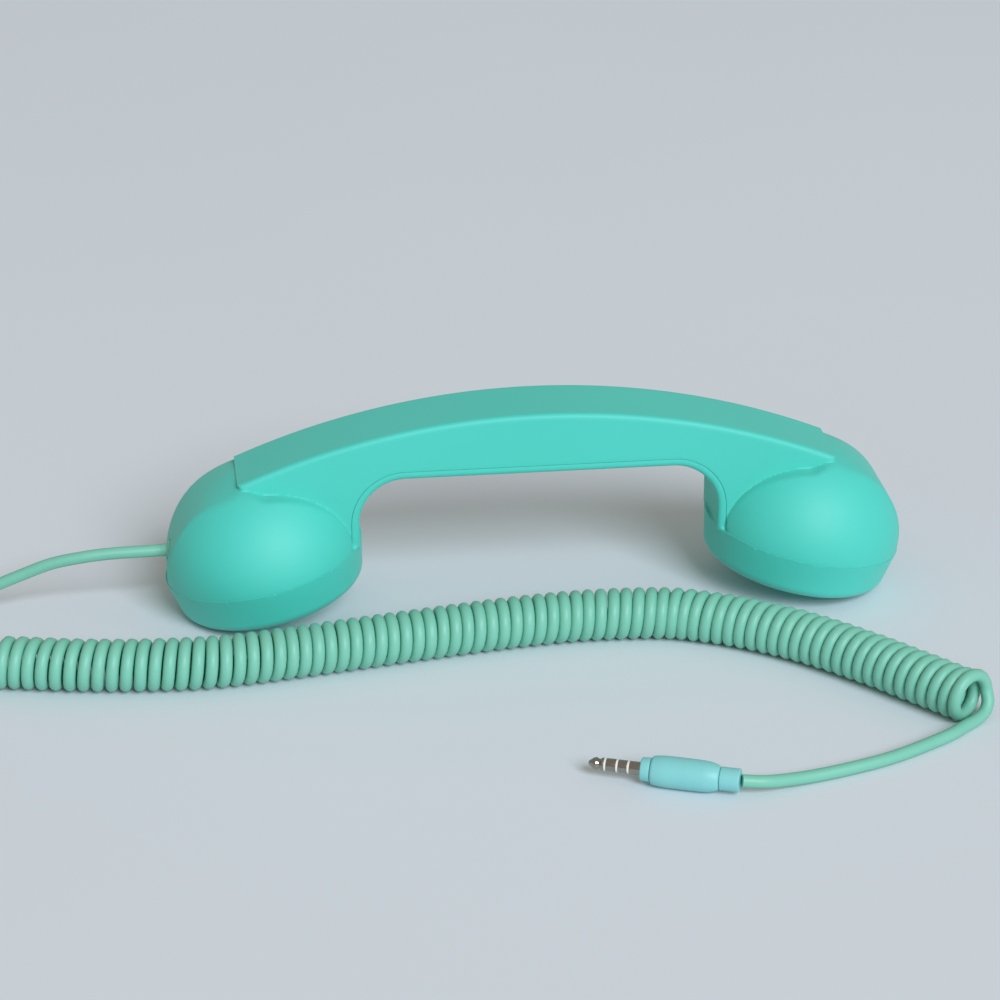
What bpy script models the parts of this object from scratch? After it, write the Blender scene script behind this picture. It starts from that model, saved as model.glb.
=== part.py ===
"""Retro telephone handset with a curly cord and a four-pole jack plug.

Units are metres, +Z up. +X runs along the handset towards the earpiece, +Y is across it. The origin is on
the surface that the handset lies on, under its middle, with both cups facing down.
Each cup is turned about its own axis, which leans outwards at the top. Points of a turned profile are
(radius, height), with height 0 on the cup's rim plane and the cap at the lower, negative end.
"""
import bpy
import bmesh
from math import acos, asin, atan2, ceil, cos, hypot, pi, radians, sin, tan
from mathutils import Matrix, Vector

MM = 0.001

# Handset: a flat-sided bar whose roof is one long arc, ending in a dome over each cup.
ROOF_HEIGHT = 60.5 * MM
ROOF_RADIUS = 219.4 * MM
BAR_HALF_WIDTH = 11.8 * MM
BAR_END_X = 86.2 * MM
STEP = 0.4 * MM              # the spine over each dome lies this far below the bar's roof
END_RADIUS = 31.0 * MM       # roof arc round each end of the handset
RIDGE_ROUND = 1.4 * MM
WALL = 2.0 * MM
GRIP_Z = 42.5 * MM           # underside of the bar
NECK_X = 51.8 * MM           # inner face of each neck
NECK_RADIUS = 13.2 * MM
PARTING_RISE = 2.4 * MM      # the parting line runs this far inside the grip face
GAP = 0.3 * MM               # clearance where two pieces meet

# Cups.
CUP_X = 79.0 * MM
CUP_TILT = radians(12)
DOME_RADIUS = 28.9 * MM
DOME_HEIGHT = 25.2 * MM
SPINE_ROUND = 2.0 * MM
RIM_RADIUS = 29.3 * MM
EDGE_RADIUS = 24.4 * MM      # centre circle of the rounded edge round the cap
EDGE_ROUND = 3.0 * MM
EDGE_DEPTH = 8.9 * MM
RIM_Z = EDGE_DEPTH * cos(CUP_TILT) + EDGE_RADIUS * sin(CUP_TILT) + EDGE_ROUND
FACE_DEPTH = EDGE_DEPTH + EDGE_ROUND
CAP_RADIUS = 21.5 * MM
CAP_THICK = 2.3 * MM
WEB_BOTTOM = -7.3 * MM       # floor inside each cup that the capsules sit on
WEB_TOP = -5.5 * MM
POST_RADIUS = 17.6 * MM      # screw posts stand this far from the cup's axis

# Button in the grip face, and what it presses.
BUTTON_LENGTH = 14.0 * MM
BUTTON_WIDTH = 7.0 * MM
BUTTON_PROUD = 0.4 * MM
SWITCH_Z = 46.9 * MM         # underside of the switch body
BOARD_Z = 50.3 * MM
BOARD_SIZE = (40.0 * MM, 15.0 * MM, 1.2 * MM)
BOARD_SCREW_X = 16.0 * MM
WEIGHT_Z = 53.4 * MM
WEIGHT_SIZE = (52.0 * MM, 14.0 * MM, 3.0 * MM)
WEIGHT_SCREW_X = 22.0 * MM

# Screw posts, bosses and holes: radii, and the heights they run to.
POST_SIZE, POST_TOP = 2.4 * MM, 18.3 * MM
POST_BORE_LOW, POST_BORE_TOP = -8 * MM, 4.5 * MM
SCREW_BORE = 1.3 * MM
BOSS_SIZE, BOSS_HEIGHT = 3.0 * MM, 1.6 * MM
BOSS_BORE, BOSS_BORE_TOP = 1.4 * MM, 58.6 * MM
STAND_SIZE, STAND_BORE = 2.2 * MM, 1.1 * MM
CORD_HOLE_SIZE = 3.0 * MM
EAR_HOLE = 1.1 * MM
PLUNGER_SIZE = 1.6 * MM
BOARD_SCREW_HEAD = 1.1 * MM

# Cord: a lead from the mouthpiece cup, a curly length and a straight tail to the plug.
CORD_RADIUS = 1.75 * MM
COIL_RADIUS = 7.4 * MM
CORD_EXIT_Z = 19.3 * MM
LEAD_ROUTE = [
    (-112, 0, 19.2), (-123, 0, 19), (-131.5, 0, 18.2), (-140, 0.5, 16.5), (-148.7, 1, 13.2),
    (-156, 1.5, 10.2), (-165, 2.2, 6.8), (-175, 2.6, 3.8), (-186, 1.5, 2.1), (-196, -3.5, 1.85),
    (-203, -12.5, 1.85), (-204, -24, 1.85), (-197, -34.5, 1.85), (-186, -40, 1.85), (-176.8, -41, 1.85),
]
COIL_ROUTE = [
    (-176.5, -40.8), (-154.2, -42.6), (-134.2, -46.6), (-117.3, -48.9), (-100.4, -49.8), (-86.6, -48.6),
    (-68, -45.4), (-48.7, -41.8), (-27.2, -37.9), (-8, -34.9), (11.4, -33.3), (32.7, -34.6),
    (45.5, -39.2), (57, -45.6), (70, -55.6), (83.4, -69.2), (95, -83), (106.1, -96.4),
]
TAIL_ROUTE = [
    (111.8, -94.4, 7.4), (112, -97.4, 3.9), (109.8, -101.4, 1.85), (104.7, -106, 1.85),
    (93.6, -112.2, 1.85),
    (81, -117.8, 1.85), (66.6, -122.3, 1.85), (57, -125.4, 2.1), (49, -128.6, 3.1), (42.6, -130, 3.95),
    (36.8, -128.3, 4.25),
]

# Plug: pin along its own axis, tip first. Each entry is a length from the tip's point.
PLUG_TIP_AT = (-1.1, -113.6, 4.25)
PLUG_YAW = radians(-21.2)
PIN_RADIUS = 1.75 * MM
PIN_LENGTH = 14.0 * MM
COLLAR_SIZE = 3.2 * MM
COLLAR_LENGTH = 2.6 * MM
GRIP_LENGTH = 18.2 * MM
BOOT_LENGTH = 5.2 * MM


def material(name, rgb, roughness, metallic=0.0):
    m = bpy.data.materials.new(name)
    m.use_nodes = True
    shader = m.node_tree.nodes["Principled BSDF"]
    shader.inputs["Base Color"].default_value = (*rgb, 1)
    shader.inputs["Roughness"].default_value = roughness
    shader.inputs["Metallic"].default_value = metallic
    return m


for old in list(bpy.data.objects):
    bpy.data.objects.remove(old)
PARTS = bpy.data.collections.new("telephone_handset")
CUTTERS = bpy.data.collections.new("cutters")
for group in (PARTS, CUTTERS):
    bpy.context.scene.collection.children.link(group)

SHELL = material("soft_touch_shell", (0.11, 0.67, 0.53), 0.55)
CAP = material("cap_plastic", (0.11, 0.67, 0.53), 0.45)
DARK = material("black_plastic", (0.02, 0.02, 0.02), 0.5)
FELT = material("felt", (0.03, 0.03, 0.03), 0.9)
RUBBER = material("black_rubber", (0.02, 0.02, 0.02), 0.8)
PAPER = material("cone_paper", (0.2, 0.17, 0.12), 0.9)
STEEL = material("steel", (0.6, 0.6, 0.6), 0.35, 1.0)
MAGNET = material("magnet", (0.35, 0.35, 0.36), 0.3, 1.0)
BOARD = material("circuit_board", (0.02, 0.16, 0.06), 0.4)
CORD = material("cord_jacket", (0.21, 0.67, 0.46), 0.4)
PLUG = material("plug_moulding", (0.18, 0.65, 0.63), 0.4)
NICKEL = material("nickel_plate", (0.7, 0.69, 0.66), 0.2, 1.0)
IVORY = material("pin_insulator", (0.85, 0.85, 0.8), 0.4)
WIRE = material("wire_insulation", (0.5, 0.03, 0.03), 0.5)


def add_object(name, data, mat=None, place=Matrix(), cutter=False):
    """Links an object to the parts, or to the cutters, at a place given as a matrix."""
    ob = bpy.data.objects.new(name, data)
    (CUTTERS if cutter else PARTS).objects.link(ob)
    ob.matrix_world = place
    if mat:
        data.materials.append(mat)
    if cutter:
        ob.hide_render = True
        ob.display_type = 'WIRE'
    return ob


def empty(name, place):
    ob = add_object(name, None, place=place)
    ob.empty_display_size = 0.01
    return ob


def boolean(ob, tool, operation):
    """Joins or cuts with the MANIFOLD solver: EXACT leaves open edges where the thin shells part."""
    mod = ob.modifiers.new(f"{operation.lower()}_{tool.name}"[:60], 'BOOLEAN')
    mod.operation = operation
    mod.object = tool
    mod.solver = 'MANIFOLD'


def turned(name, profile, mat=None, place=Matrix(), steps=32, closed=False, cutter=False):
    """A profile of (radius, height) turned about the local Z axis with a Screw modifier."""
    mesh = bpy.data.meshes.new(name)
    points = [(r, 0, z) for r, z in profile]
    edges = [(i, i + 1) for i in range(len(points) - 1)]
    if closed:
        edges.append((len(points) - 1, 0))
    mesh.from_pydata(points, edges, [])
    ob = add_object(name, mesh, mat, place, cutter)
    screw = ob.modifiers.new("turn", 'SCREW')
    screw.steps = screw.render_steps = steps
    screw.use_merge_vertices = True
    screw.merge_threshold = 0.00002
    screw.use_smooth_shade = True
    return ob


def disc(name, radius, low, high, mat=None, place=Matrix(), steps=24, cutter=False):
    profile = [(0, high), (radius, high), (radius, low), (0, low)]
    return turned(name, profile, mat, place, steps, cutter=cutter)


def ring(name, inner, outer, low, high, mat, place=Matrix(), steps=24):
    profile = [(outer, high), (outer, low), (inner, low), (inner, high)]
    return turned(name, profile, mat, place, steps, closed=True)


def mesh_of(curve_object):
    """Turns a curve object into a mesh object with welded caps, and removes the curve."""
    depsgraph = bpy.context.evaluated_depsgraph_get()
    mesh = bpy.data.meshes.new_from_object(curve_object.evaluated_get(depsgraph))
    name, place = curve_object.name, curve_object.matrix_world.copy()
    bpy.data.objects.remove(curve_object)
    weld = bmesh.new()
    weld.from_mesh(mesh)
    bmesh.ops.remove_doubles(weld, verts=weld.verts, dist=0.00001)
    weld.to_mesh(mesh)
    weld.free()
    mesh.name = name
    return mesh, place


def plate(name, outline, half_width, mat=None, cutter=False):
    """An outline of (x, z) points, extruded both ways along Y."""
    curve = bpy.data.curves.new(name, 'CURVE')
    curve.dimensions = '2D'
    curve.fill_mode = 'BOTH'
    curve.extrude = half_width
    spline = curve.splines.new('POLY')
    spline.points.add(len(outline) - 1)
    for point, (x, z) in zip(spline.points, outline):
        point.co = (x, z, 0, 1)
    spline.use_cyclic_u = True
    draft = bpy.data.objects.new(name, curve)
    bpy.context.scene.collection.objects.link(draft)
    draft.matrix_world = Matrix.Rotation(pi / 2, 4, 'X')
    bpy.context.view_layer.update()
    mesh, place = mesh_of(draft)
    return add_object(name, mesh, mat, place, cutter)


def block(name, size, centre, mat, bevel=0.0):
    mesh = bpy.data.meshes.new(name)
    cube = bmesh.new()
    bmesh.ops.create_cube(cube, size=1, matrix=Matrix.Diagonal((*size, 1)))
    cube.to_mesh(mesh)
    cube.free()
    ob = add_object(name, mesh, mat, Matrix.Translation(centre))
    if bevel:
        mod = ob.modifiers.new("edges", 'BEVEL')
        mod.width, mod.segments = bevel, 1
    return ob


def smooth_route(points, spacing):
    """Points along a smooth curve through a hand-chosen route, about one spacing apart."""
    pts = [Vector(p) for p in points]
    ends = [2 * pts[0] - pts[1]] + pts + [2 * pts[-1] - pts[-2]]
    fine = []
    for a, b, c, d in zip(ends, ends[1:], ends[2:], ends[3:]):
        for k in range(16):
            t = k / 16
            fine.append(0.5 * (2 * b + (c - a) * t + (2 * a - 5 * b + 4 * c - d) * t * t
                               + (3 * b - 3 * c + d - a) * t ** 3))
    fine.append(pts[-1])
    lengths = [0.0]
    for a, b in zip(fine, fine[1:]):
        lengths.append(lengths[-1] + (b - a).length)
    count = max(2, ceil(lengths[-1] / spacing))
    route, k = [], 0
    for i in range(count + 1):
        want = lengths[-1] * i / count
        while k < len(fine) - 2 and lengths[k + 1] < want:
            k += 1
        share = (want - lengths[k]) / (lengths[k + 1] - lengths[k])
        route.append(fine[k].lerp(fine[k + 1], min(max(share, 0), 1)))
    return route


def tube(name, route, radius, spacing, mat, resolution=2):
    """A round cord or wire with filled ends along a smooth curve."""
    curve = bpy.data.curves.new(name, 'CURVE')
    curve.dimensions = '3D'
    curve.bevel_depth = radius
    curve.bevel_resolution = resolution
    curve.use_fill_caps = True
    points = smooth_route(route, spacing)
    spline = curve.splines.new('POLY')
    spline.points.add(len(points) - 1)
    for point, co in zip(spline.points, points):
        point.co = (*co, 1)
    return add_object(name, curve, mat)


def arc(centre, radius, start, end, steps):
    """Points (x, z) on an arc; angles in degrees, measured from +Z towards +X."""
    angles = [radians(start + (end - start) * i / steps) for i in range(steps + 1)]
    return [(centre[0] + radius * sin(a), centre[1] + radius * cos(a)) for a in angles]


def mirrored(half):
    """Closes a half outline that starts and ends at x = 0 or beside it, given for +X."""
    return half + [(-x, z) for x, z in reversed(half) if abs(x) > 1e-9]


def rim_plane(x, lift=0.0):
    """Height of the right cup's rim plane at x, lifted along the cup's axis."""
    return RIM_Z - (x - CUP_X) * tan(CUP_TILT) + lift / cos(CUP_TILT)


def end_arc():
    """Centre, radius and angles of the arc that carries the roof on, tangent, round to the rim."""
    top = (0, ROOF_HEIGHT - ROOF_RADIUS)
    rim = (CUP_X + DOME_RADIUS * cos(CUP_TILT) - top[0], RIM_Z - DOME_RADIUS * sin(CUP_TILT) - top[1])
    reach = ROOF_RADIUS - END_RADIUS
    away = hypot(*rim)
    turn = acos((reach ** 2 + away ** 2 - END_RADIUS ** 2) / (2 * reach * away))
    start = atan2(*rim) - turn
    centre = (reach * sin(start), top[1] + reach * cos(start))
    stop = atan2(rim[0] - centre[0], rim[1] + top[1] - centre[1])
    return centre, start * 180 / pi, stop * 180 / pi


def spine_outline(inset):
    """Side view of the roof carried on over the right cup, from inside the bar down to the rim."""
    centre, start, stop = end_arc()
    top = (0, ROOF_HEIGHT - ROOF_RADIUS)
    outline = arc(top, ROOF_RADIUS - inset, 18.5, start, 2)[:-1]
    outline += arc(centre, END_RADIUS - inset, start, stop - 4, 9)
    return outline + [(90 * MM, 18 * MM), (74 * MM, 32 * MM)]


def bar_outline(inset):
    """Side view of the bar with its necks, whose hidden ends stop inside the domes."""
    top = (0, ROOF_HEIGHT - ROOF_RADIUS)
    end = asin(BAR_END_X / ROOF_RADIUS) * 180 / pi
    neck = (NECK_X - NECK_RADIUS, GRIP_Z - NECK_RADIUS)
    half = arc(top, ROOF_RADIUS - inset, 0, end, 12)
    half += [(84.0 * MM, 38.0 * MM), (62.0 * MM, rim_plane(62.0 * MM, 1.0 * MM))]
    lowest = rim_plane(NECK_X + inset, -0.6 * MM if inset == 0 else -3.0 * MM)
    half += [(60.0 * MM, lowest), (NECK_X + inset, lowest)]
    half += arc(neck, NECK_RADIUS + inset, 90, 0, 7)
    half += [(0, GRIP_Z + inset)]
    return mirrored(half)


def parting_outline(lift):
    """Side view of all that belongs to the inner shell, its top edge lifted from the parting line."""
    neck = (NECK_X - NECK_RADIUS, GRIP_Z - NECK_RADIUS)
    half = [(0, GRIP_Z + PARTING_RISE + lift)]
    half += arc(neck, NECK_RADIUS + PARTING_RISE + lift, 0, 90, 7)
    inner = half[-1][0]
    half += [(inner, rim_plane(inner, lift)), (125 * MM, rim_plane(125 * MM, lift))]
    half += [(125 * MM, -12 * MM), (0, -12 * MM)]
    return mirrored(half)


def cup_place(side):
    """Places a cup's axis: side is +1 for the earpiece and -1 for the mouthpiece."""
    return Matrix.Translation((side * CUP_X, 0, RIM_Z)) @ Matrix.Rotation(side * CUP_TILT, 4, 'Y')


def dome_profile(inset, below):
    """Half an ellipse from the crown down to the rim, then straight down by the length below."""
    radius, height = DOME_RADIUS - inset, DOME_HEIGHT - inset
    turns = [radians(90 * i / 9) for i in range(9 if below else 10)]
    profile = [(radius * sin(a), height * cos(a)) for a in turns]
    return profile + ([(radius, 0), (radius, -below), (0, -below)] if below else [(0, 0)])


def dome(name, side, inset, below, steps):
    """A cup's dome with the spine that carries the bar's roof on over it."""
    ob = turned(name, dome_profile(inset, below), None, cup_place(side), steps, cutter=True)
    outline = [(side * x, z) for x, z in spine_outline(STEP + inset)][::side]
    spine = plate(f"spine_{name}", outline, BAR_HALF_WIDTH - inset, cutter=True)
    if not inset:
        rounded_edges(spine, SPINE_ROUND)
    boolean(ob, spine, 'UNION')
    return ob


def rounded_edges(ob, width):
    mod = ob.modifiers.new("rounded", 'BEVEL')
    mod.width, mod.segments, mod.limit_method, mod.angle_limit = width, 2, 'ANGLE', radians(60)


def shell_form(name):
    """The whole handset's wall above the rim planes, before it is parted into two shells."""
    ob = plate(name, bar_outline(0), BAR_HALF_WIDTH, SHELL)
    rounded_edges(ob, RIDGE_ROUND)
    for tool in OUTER_DOMES:
        boolean(ob, tool, 'UNION')
    boolean(ob, CAVITY, 'DIFFERENCE')
    return ob


OUTER_DOMES = [dome("dome_ear", 1, 0, 0, 36), dome("dome_mouth", -1, 0, 0, 36)]
CAVITY = plate("cavity", bar_outline(WALL), BAR_HALF_WIDTH - WALL, cutter=True)
for side, label in ((1, "ear"), (-1, "mouth")):
    boolean(CAVITY, dome(f"hollow_{label}", side, WALL, 5.0 * MM, 24), 'UNION')


def skirt_profile(opening):
    """Wall of a cup below its rim, with the seat for the cap and the web that the capsule sits on."""
    edge = [(EDGE_RADIUS + EDGE_ROUND * cos(a), -EDGE_DEPTH - EDGE_ROUND * sin(a))
            for a in (radians(10), radians(36), radians(63), radians(90))]
    seat = CAP_RADIUS + GAP
    seat_top = -FACE_DEPTH + CAP_THICK + GAP
    return [
        (RIM_RADIUS, -GAP / 2), *edge, (seat, -FACE_DEPTH), (seat, seat_top), (20.3 * MM, seat_top),
        (20.3 * MM, WEB_BOTTOM), (opening, WEB_BOTTOM), (opening, WEB_TOP), (24.6 * MM, WEB_TOP),
        (RIM_RADIUS - WALL, -GAP / 2),
    ]


def make_outer_shell():
    shell = shell_form("outer_shell")
    boolean(shell, plate("parting_outer", parting_outline(GAP / 2), 40 * MM, cutter=True), 'DIFFERENCE')
    for side, label in ((1, "ear"), (-1, "mouth")):
        for across in (1, -1):
            place = cup_place(side) @ Matrix.Translation((0, across * POST_RADIUS, 0))
            tag = f"{label}_{'back' if across > 0 else 'front'}"
            post = disc(f"post_{tag}", POST_SIZE, WEB_TOP + GAP, POST_TOP, None, place, 12, True)
            bore = disc(f"bore_{tag}", SCREW_BORE, POST_BORE_LOW, POST_BORE_TOP, None, place, 10, True)
            boolean(shell, post, 'UNION')
            boolean(shell, bore, 'DIFFERENCE')
    for x in (-WEIGHT_SCREW_X, WEIGHT_SCREW_X):
        place = Matrix.Translation((x, 0, 0))
        low = WEIGHT_Z + WEIGHT_SIZE[2] + GAP
        boss = disc(f"boss_{x:.3f}", BOSS_SIZE, low, low + BOSS_HEIGHT, None, place, 12, True)
        bore = disc(f"boss_bore_{x:.3f}", BOSS_BORE, low - MM, BOSS_BORE_TOP, None, place, 10, True)
        boolean(shell, boss, 'UNION')
        boolean(shell, bore, 'DIFFERENCE')
    cord_hole = Matrix.Translation((-CUP_X, 0, CORD_EXIT_Z)) @ Matrix.Rotation(-pi / 2, 4, 'Y')
    hole = disc("cord_hole", CORD_HOLE_SIZE, 20 * MM, 40 * MM, None, cord_hole, 16, True)
    boolean(shell, hole, 'DIFFERENCE')
    return shell


def make_inner_shell():
    shell = shell_form("inner_shell")
    boolean(shell, plate("parting_inner", parting_outline(-GAP / 2), 40 * MM, cutter=True), 'INTERSECT')
    for side, label, opening in ((1, "ear", 12.0 * MM), (-1, "mouth", 6.5 * MM)):
        skirt = turned(f"skirt_{label}", skirt_profile(opening), None, cup_place(side), 36, True, True)
        boolean(shell, skirt, 'UNION')
        for across in (1, -1):
            place = cup_place(side) @ Matrix.Translation((0, across * POST_RADIUS, 0))
            tag = f"web_hole_{label}_{'back' if across > 0 else 'front'}"
            web_hole = disc(tag, SCREW_BORE, POST_BORE_LOW, -5 * MM, None, place, 10, True)
            boolean(shell, web_hole, 'DIFFERENCE')
    for x in (-BOARD_SCREW_X, BOARD_SCREW_X):
        place = Matrix.Translation((x, 0, 0))
        low = GRIP_Z + MM
        stand = disc(f"stand_{x:.3f}", STAND_SIZE, low, BOARD_Z - GAP, None, place, 12, True)
        bore = disc(f"stand_bore_{x:.3f}", STAND_BORE, 46 * MM, 52 * MM, None, place, 10, True)
        boolean(shell, stand, 'UNION')
        boolean(shell, bore, 'DIFFERENCE')
    opening = pill("button_hole", BUTTON_LENGTH / 2 + GAP, BUTTON_WIDTH / 2 + GAP, 40 * MM, 48 * MM)
    boolean(shell, opening, 'DIFFERENCE')
    return shell


def pill(name, half_length, half_width, low, high):
    """A cutter with round ends, upright."""
    straight = half_length - half_width
    ring_points = []
    for end in (1, -1):
        for k in range(9):
            a = radians(-90 + 22.5 * k) + (0 if end > 0 else pi)
            ring_points.append((end * straight + half_width * cos(a), half_width * sin(a)))
    mesh = bpy.data.meshes.new(name)
    body = bmesh.new()
    face = body.faces.new([body.verts.new((x, y, low)) for x, y in ring_points])
    lifted = bmesh.ops.extrude_face_region(body, geom=[face])["geom"]
    corners = [v for v in lifted if isinstance(v, bmesh.types.BMVert)]
    bmesh.ops.translate(body, vec=(0, 0, high - low), verts=corners)
    bmesh.ops.recalc_face_normals(body, faces=body.faces)
    body.to_mesh(mesh)
    body.free()
    return add_object(name, mesh, cutter=True)


def make_button():
    """Pill-shaped button: a face that stands proud of the grip and a flange that keeps it in."""
    wall_top = GRIP_Z + WALL
    face = pill("button_face", BUTTON_LENGTH / 2, BUTTON_WIDTH / 2,
                GRIP_Z - BUTTON_PROUD, wall_top + 0.6 * MM)
    flange = pill("button_flange", BUTTON_LENGTH / 2 + MM, BUTTON_WIDTH / 2 + MM,
                  wall_top + GAP, wall_top + 1.3 * MM)
    mount = empty("button_axis", Matrix.Translation((0, 0, GRIP_Z)))
    button = add_object("button_cap", face.data.copy(), CAP)
    boolean(button, flange, 'UNION')
    button.parent = mount
    button.matrix_parent_inverse = mount.matrix_world.inverted()
    return button


def drilled(ob, place, holes, low, high):
    for i, (radius, x, y) in enumerate(holes):
        at = place @ Matrix.Translation((x, y, 0)) @ Matrix.Rotation(radians(11), 4, 'Z')
        hole = disc(f"{ob.name}_hole_{i}", radius, low, high, None, at, 8, True)
        boolean(ob, hole, 'DIFFERENCE')


def circle_of_holes(radius, count, away):
    """Holes evenly spaced on a circle, turned a little so that none sits on a spoke of the disc."""
    turns = [2 * pi * k / count + radians(4) for k in range(count)]
    return [(radius, away * cos(a), away * sin(a)) for a in turns]


def make_cap(name, side, holes):
    low, place = -FACE_DEPTH - 0.05 * MM, cup_place(side)
    top = low + CAP_THICK
    rounded = 0.5 * MM
    profile = [
        (0, top), (CAP_RADIUS, top), (CAP_RADIUS, low + rounded), (CAP_RADIUS - rounded, low), (0, low)]
    cap = turned(name, profile, CAP, place, 32)
    drilled(cap, place, holes, low - MM, top + MM)
    return cap


def make_screw(name, place, head_low, head_radius, shank_radius, shank_top, head_height=1.3 * MM):
    """A pan-head screw whose head is at the lower end of its own Z axis."""
    top = head_low + head_height
    profile = [
        (0, shank_top), (shank_radius * 0.6, shank_top), (shank_radius, shank_top - 0.8 * MM),
        (shank_radius, top), (head_radius, top), (head_radius, head_low + 0.4 * MM),
        (head_radius * 0.7, head_low), (0, head_low),
    ]
    return turned(name, profile, STEEL, place, 12)


def make_earpiece():
    place = cup_place(1)
    holes = [(EAR_HOLE, 0, 0)]
    holes += circle_of_holes(EAR_HOLE, 6, 5.2 * MM) + circle_of_holes(EAR_HOLE, 12, 10.4 * MM)
    make_cap("ear_cap", 1, holes)
    disc("ear_dust_screen", 14 * MM, -9.35 * MM, -8.85 * MM, FELT, place)
    ring("receiver_gasket", 12.3 * MM, 14.8 * MM, -5.2 * MM, -4.4 * MM, RUBBER, place)
    frame_profile = [
        (12.2, 3.5), (12.2, -2.9), (14.8, -2.9), (14.8, -4.1), (11.3, -4.1), (11.3, 2.0), (6.4, 2.0),
        (6.4, 3.5),
    ]
    turned("receiver_frame", [(r * MM, z * MM) for r, z in frame_profile], DARK, place, 24, closed=True)
    disc("receiver_magnet", 6.0 * MM, 0.4 * MM, 5.5 * MM, MAGNET, place)
    cone_profile = [
        (0, -0.9), (3.4, -1.1), (4.6, -2.6), (9.2, -2.9), (10.9, -3.4), (10.9, -3.9), (9.0, -3.4),
        (4.4, -3.1),
        (3.2, -1.5), (0, -1.3),
    ]
    turned("receiver_cone", [(r * MM, z * MM) for r, z in cone_profile], PAPER, place, 24)
    ring("voice_coil", 3.7 * MM, 4.2 * MM, -0.9 * MM, 0.1 * MM, STEEL, place, 20)


def make_mouthpiece():
    place = cup_place(-1)
    holes = [(0.9 * MM, 0, 0)] + circle_of_holes(0.9 * MM, 6, 4.6 * MM)
    make_cap("mouth_cap", -1, holes)
    disc("mouth_dust_screen", 8 * MM, -9.35 * MM, -8.95 * MM, FELT, place, 20)
    boot_profile = [(8, -4.2), (8, -5.2), (6.2, -5.2), (6.2, -8.6), (5.0, -8.6), (5.0, -4.2)]
    turned("mic_boot", [(r * MM, z * MM) for r, z in boot_profile], RUBBER, place, 20, closed=True)
    disc("mic_capsule", 4.7 * MM, -8.4 * MM, -3.9 * MM, MAGNET, place, 20)


def make_switchgear():
    board_centre = (0, 0, BOARD_Z + BOARD_SIZE[2] / 2)
    board = block("circuit_board", BOARD_SIZE, board_centre, BOARD)
    drilled(board, Matrix(), [(1.2 * MM, x, 0) for x in (-BOARD_SCREW_X, BOARD_SCREW_X)], 50 * MM, 52 * MM)
    body_height = BOARD_Z - GAP - SWITCH_Z
    body = block("switch_body", (6 * MM, 6 * MM, body_height), (0, 0, SWITCH_Z + body_height / 2), DARK)
    drilled(body, Matrix(), [(2.0 * MM, 0, 0)], SWITCH_Z - MM, SWITCH_Z + 2.2 * MM)
    mount = empty("plunger_axis", Matrix.Translation((0, 0, SWITCH_Z)))
    low, high = GRIP_Z + WALL + 1.6 * MM, SWITCH_Z + 1.3 * MM
    plunger = disc("switch_plunger", PLUNGER_SIZE, low, high, RUBBER, steps=16)
    plunger.parent = mount
    plunger.matrix_parent_inverse = mount.matrix_world.inverted()
    weight_centre = (0, 0, WEIGHT_Z + WEIGHT_SIZE[2] / 2)
    weight = block("grip_weight", WEIGHT_SIZE, weight_centre, STEEL, 0.5 * MM)
    drilled(weight, Matrix(), [(1.5 * MM, x, 0) for x in (-WEIGHT_SCREW_X, WEIGHT_SCREW_X)], 53 * MM, 57 * MM)
    for i, x in enumerate((-WEIGHT_SCREW_X, WEIGHT_SCREW_X), 1):
        place = Matrix.Translation((x, 0, 0))
        make_screw(f"weight_screw_{i}", place, WEIGHT_Z - 1.6 * MM, 2.2 * MM, 1.1 * MM, 58.2 * MM)
    for i, x in enumerate((-BOARD_SCREW_X, BOARD_SCREW_X), 1):
        head_top = BOARD_Z + BOARD_SIZE[2] + GAP + BOARD_SCREW_HEAD
        upside_down = Matrix.Translation((x, 0, head_top)) @ Matrix.Rotation(pi, 4, 'X')
        make_screw(f"board_screw_{i}", upside_down, 0, 1.6 * MM, 0.8 * MM, 5.6 * MM, BOARD_SCREW_HEAD)


def make_shell_screws():
    count = 0
    for side in (1, -1):
        for across in (1, -1):
            count += 1
            place = cup_place(side) @ Matrix.Translation((0, across * POST_RADIUS, 0))
            make_screw(f"shell_screw_{count}", place, WEB_BOTTOM - 1.6 * MM, 1.8 * MM, 1.0 * MM, 3.8 * MM)


def make_inner_wires():
    """Wires from the board to the two capsules, and the cord's own core from the grommet to the board."""
    receiver = [
        (20.6, 4, 51.2), (34, 5, 52), (50, 5, 48.5), (64, 4, 40), (73, 3, 31), (78.5, 2.5, 25.5),
        (80.2, 2, 22.9)]
    mic = [
        (-20.6, 4, 51.2), (-34, 5, 52), (-50, 5, 48.5), (-64, 4, 40), (-73, 2, 28), (-77.5, 0.5, 18),
        (-78.1, 0, 13.4)]
    core = [
        (-98.9, 0, 19.3), (-92, -2.5, 20.5), (-84, -5, 26), (-70, -5.5, 37), (-54, -5, 46.5),
        (-36, -5, 51.6), (-20.6, -4, 51.2)]
    for name, route, radius in (
            ("receiver_wire", receiver, 0.8), ("mic_wire", mic, 0.8), ("cord_core", core, 1.2)):
        metres = [tuple(v * MM for v in point) for point in route]
        tube(name, metres, radius * MM, 6 * MM, WIRE)


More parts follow.
